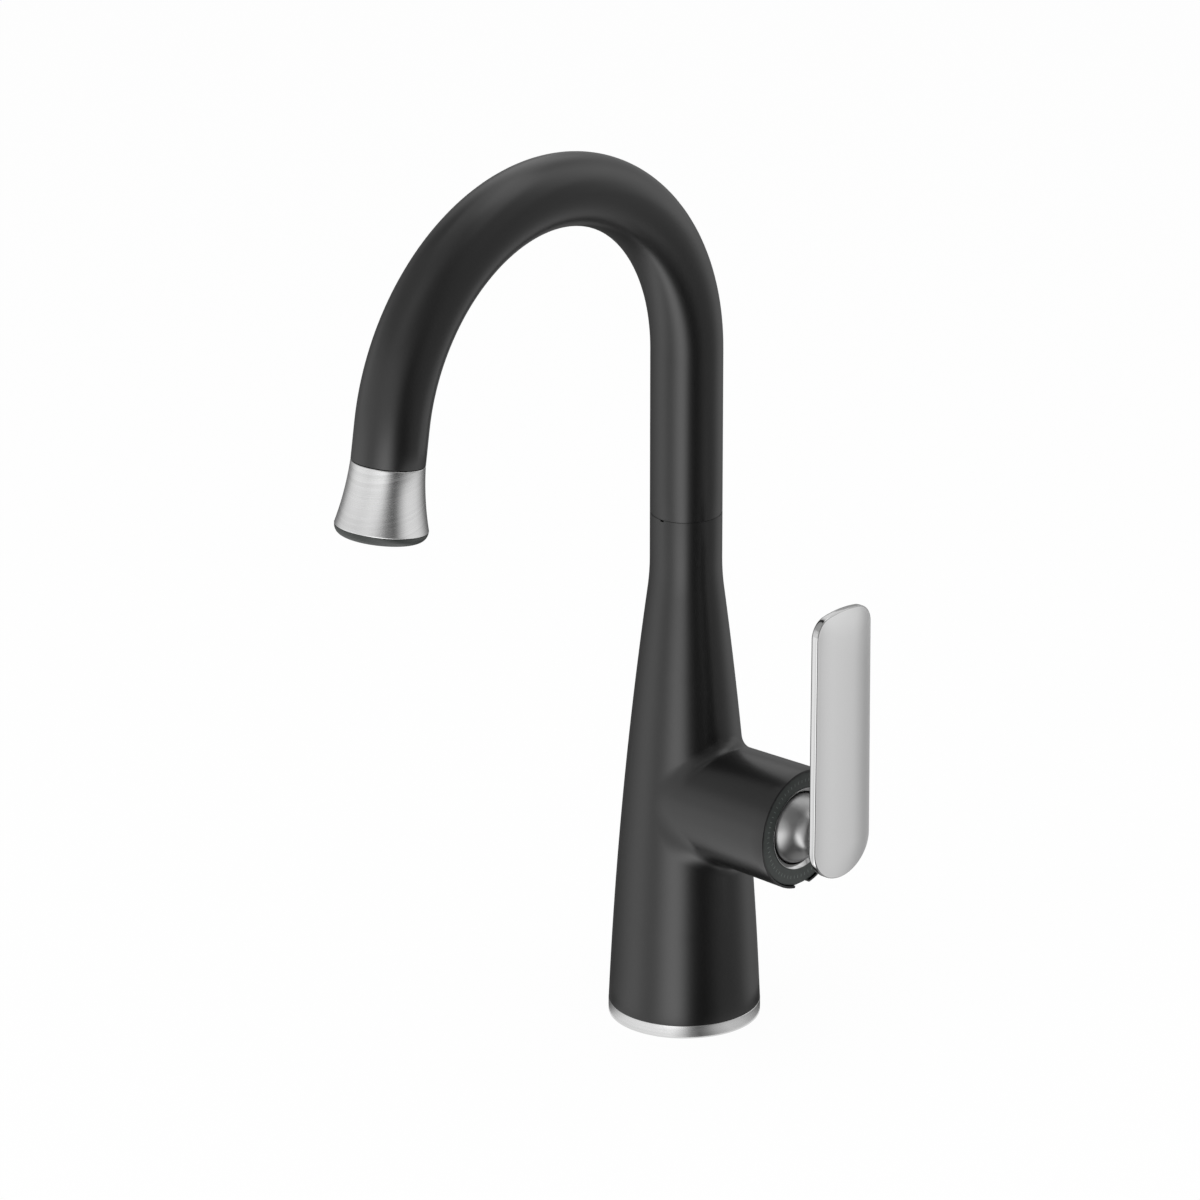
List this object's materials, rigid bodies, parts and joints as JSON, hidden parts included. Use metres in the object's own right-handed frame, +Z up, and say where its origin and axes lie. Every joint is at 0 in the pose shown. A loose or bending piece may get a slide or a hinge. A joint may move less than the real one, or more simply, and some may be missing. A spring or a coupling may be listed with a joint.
{
  "type": "pull-down bar faucet",
  "caption": "Deck-mounted bar faucet: tapered black body, swivelling gooseneck with a pull-down spray head, and a tilting side lever that sets flow and temperature.",
  "frame": {"origin": "on the deck surface, at the middle of the deck hole, on the body's axis", "axes": "+Z up, -Y the way the spout reaches, +X the side with the lever"},
  "size_m": [0.1039, 0.197, 0.4088],
  "materials": {
    "satin_black": "satin black coat",
    "brushed_steel": "brushed around the axis",
    "polished_chrome": "polished",
    "satin_chrome": "satin faces with polished edges",
    "dark_trim": "matt dark grey",
    "rubber": "matt",
    "grey_rubber": "matt silicone",
    "brass": "machined",
    "copper": "drawn copper",
    "stainless": "machined",
    "white_plastic": "moulded",
    "ceramic": "lapped ceramic",
    "hose_sleeve": "woven nylon sleeve"
  },
  "bodies": {
    "body": {"base_ring": "brushed_steel", "base_gasket": "rubber", "body_shell": "satin_black", "mounting_shank": "brass", "rubber_washer": "rubber", "clamp_washer": "stainless", "mounting_nut": "brass", "clamp_screws": "stainless", "valve_block": "brass", "hot_line_tube": "copper", "cold_line_tube": "copper", "outlet_line_tube": "copper", "hot_inlet_fitting": "brass", "cold_inlet_fitting": "brass", "outlet_fitting": "brass", "hose_coupling": "brass", "lower_hose": "hose_sleeve", "cartridge_base": "white_plastic", "port_seals": "rubber", "cartridge_housing": "white_plastic", "fixed_disc": "ceramic", "retaining_nut": "brass", "trim_sleeve": "polished_chrome", "trim_ring": "dark_trim", "upper_bush": "white_plastic", "lower_bush": "white_plastic", "thrust_washer": "white_plastic"},
    "spout": {"spout_tube": "satin_black", "spout_spigot": "brass", "spigot_o_rings": "rubber", "retaining_clip": "stainless", "dock_collar": "white_plastic", "spray_hose": "hose_sleeve"},
    "spray_head": {"hose_tail": "hose_sleeve", "hose_ferrule": "stainless", "hose_connector": "brass", "connector_seal": "rubber", "spray_core": "white_plastic", "check_valve": "white_plastic", "spray_bell": "brushed_steel", "nozzle_ring": "dark_trim", "spray_plate": "dark_trim", "spray_nozzles": "grey_rubber"},
    "valve_rotor": {"cartridge_rotor": "white_plastic", "pivot_pin": "stainless"},
    "lever": {"lever_stem": "stainless", "lever_handle": "satin_chrome", "set_screw": "stainless", "screw_cap": "dark_trim"},
    "valve_disc": {"moving_disc": "ceramic", "disc_driver": "white_plastic"}
  },
  "joints": [
    {"name": "spout_swivel", "type": "hinge", "parent": "body", "child": "spout", "pos_m": [0, 0, 0.1895], "axis": [0, 0, 1], "range_deg": [-180, 180]},
    {"name": "head_pull", "type": "slide", "parent": "spout", "child": "spray_head", "axis": [0, -0.159, -0.9873], "range_m": [0, 0.19], "stiffness_N_per_m": 5, "springref_m": -0.4, "deforming": ["hose_tail"]},
    {"name": "temperature_turn", "type": "hinge", "parent": "body", "child": "valve_rotor", "pos_m": [0.048, 0, 0.0846], "axis": [1, 0, 0], "range_deg": [-45, 45]},
    {"name": "flow_tilt", "type": "hinge", "parent": "valve_rotor", "child": "lever", "pos_m": [0.048, 0, 0.0846], "axis": [0, 1, 0], "range_deg": [0, 20]},
    {"name": "disc_shift", "type": "slide", "parent": "valve_rotor", "child": "valve_disc", "axis": [0, 0, 1], "range_m": [0, 0.0044]}
  ],
  "couplings": [
    {"joint": "disc_shift", "follows": "flow_tilt", "m_per_rad": 0.0124}
  ]
}
